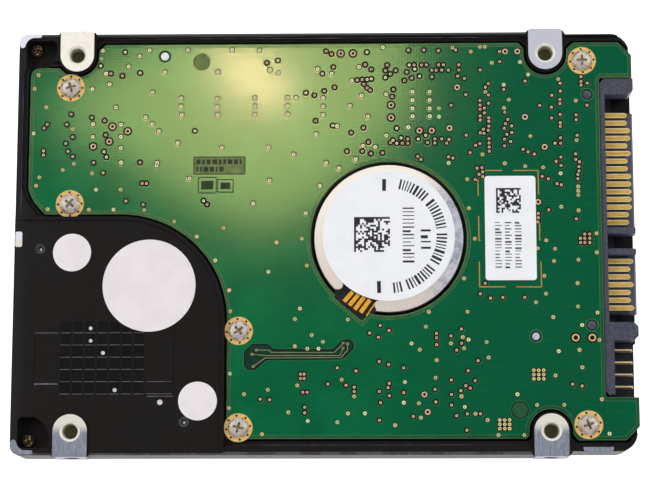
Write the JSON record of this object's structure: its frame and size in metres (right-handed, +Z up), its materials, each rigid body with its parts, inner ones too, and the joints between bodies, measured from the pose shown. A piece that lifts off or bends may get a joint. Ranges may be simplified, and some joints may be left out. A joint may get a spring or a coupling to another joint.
{
  "type": "hard disk drive",
  "caption": "Laptop-size hard disk drive with a black cast base, green circuit board, serial connector, spinning disks and a swinging head arm.",
  "frame": {"origin": "centre of the face of the cover label that the drive rests on, on the centre line between the side mounting faces", "axes": "+X along the drive towards the connector end, +Y across the drive, +Z up through the circuit board, out of the bottom mounting holes"},
  "size_m": [0.1004, 0.0698, 0.0095],
  "materials": {
    "black_casting": "satin black electro-coat over die-cast aluminium, machined bright at the mounting lugs",
    "cover_metal": "brushed sheet",
    "gasket_foam": "matte",
    "label_paper": "satin white film",
    "seal_paper": "satin white film, slightly warm",
    "gold_screw": "yellow passivated",
    "nickel_screw": "bright nickel",
    "circuit_board": "green solder mask over glass-fibre laminate",
    "insulator": "thin film",
    "chip_black": "moulded epoxy",
    "ceramic_part": "fired",
    "crystal_can": "bright can",
    "connector_plastic": "moulded, slate grey",
    "black_plastic": "moulded",
    "gold_contact": "gold plate",
    "motor_metal": "turned",
    "stator_steel": "stamped laminations",
    "copper_winding": "enamelled copper wire",
    "bearing_bronze": "turned",
    "ground_steel": "ground",
    "disk_coating": "polished",
    "arm_aluminium": "machined",
    "spring_steel": "rolled sheet",
    "magnet_nickel": "satin nickel plate",
    "yoke_steel": "nickel plated",
    "bumper_rubber": "matte",
    "latch_plastic": "moulded",
    "flex_film": "polyimide film",
    "filter_felt": "non-woven"
  },
  "bodies": {
    "root": {"base_casting": "black_casting", "top_cover": "cover_metal", "cover_gasket": "gasket_foam", "cover_label": "label_paper", "cover_screws": "gold_screw", "seal_disc_large": "seal_paper", "seal_discs_small": "seal_paper", "pcb": "circuit_board", "pcb_label": "label_paper", "pcb_screws": "nickel_screw", "insulator_sheet": "insulator", "main_controller": "chip_black", "memory_chip": "chip_black", "motor_driver": "chip_black", "capacitors": "ceramic_part", "inductors": "chip_black", "crystal": "crystal_can", "sata_housing": "connector_plastic", "power_contacts": "gold_contact", "signal_contacts": "gold_contact", "jumper_pins": "gold_contact", "motor_base": "motor_metal", "spindle_label": "label_paper", "motor_connector": "black_plastic", "motor_contacts": "gold_contact", "stator_core": "stator_steel", "stator_coils": "copper_winding", "bearing_sleeve": "bearing_bronze", "pivot_shaft": "ground_steel", "pivot_bearings": "ground_steel", "pivot_screw": "nickel_screw", "yoke_upper": "yoke_steel", "yoke_lower": "yoke_steel", "magnet_upper": "magnet_nickel", "magnet_lower": "magnet_nickel", "yoke_posts": "ground_steel", "crash_stops": "bumper_rubber", "latch_pin": "ground_steel", "load_ramp": "latch_plastic", "ramp_screw": "ground_steel", "flex_cable": "flex_film", "head_connector": "black_plastic", "recirculation_filter": "filter_felt", "breather_filter": "filter_felt"},
    "rotor": {"spindle_shaft": "ground_steel", "spindle_hub": "motor_metal", "rotor_magnet": "stator_steel", "platter_lower": "disk_coating", "platter_upper": "disk_coating", "platter_spacer": "motor_metal", "disk_clamp": "spring_steel", "clamp_screws": "ground_steel"},
    "actuator": {"pivot_sleeve": "ground_steel", "e_block": "arm_aluminium", "load_beams": "spring_steel", "head_sliders": "ceramic_part", "preamp_chip": "chip_black", "voice_coil": "copper_winding", "coil_frame": "black_plastic"},
    "latch": {"latch_arm": "latch_plastic"}
  },
  "joints": [
    {"name": "spindle_spin", "type": "hinge", "parent": "root", "child": "rotor", "pos_m": [0.01043, 0.00033, 0.005], "axis": [0, 0, 1], "continuous": true},
    {"name": "actuator_swing", "type": "hinge", "parent": "root", "child": "actuator", "pos_m": [-0.0282, -0.00736, 0.0044], "axis": [0, 0, 1], "range_deg": [-35, 0]},
    {"name": "latch_swing", "type": "hinge", "parent": "root", "child": "latch", "pos_m": [-0.0353, -0.02923, 0.0044], "axis": [0, 0, 1], "range_deg": [0, 9]}
  ]
}
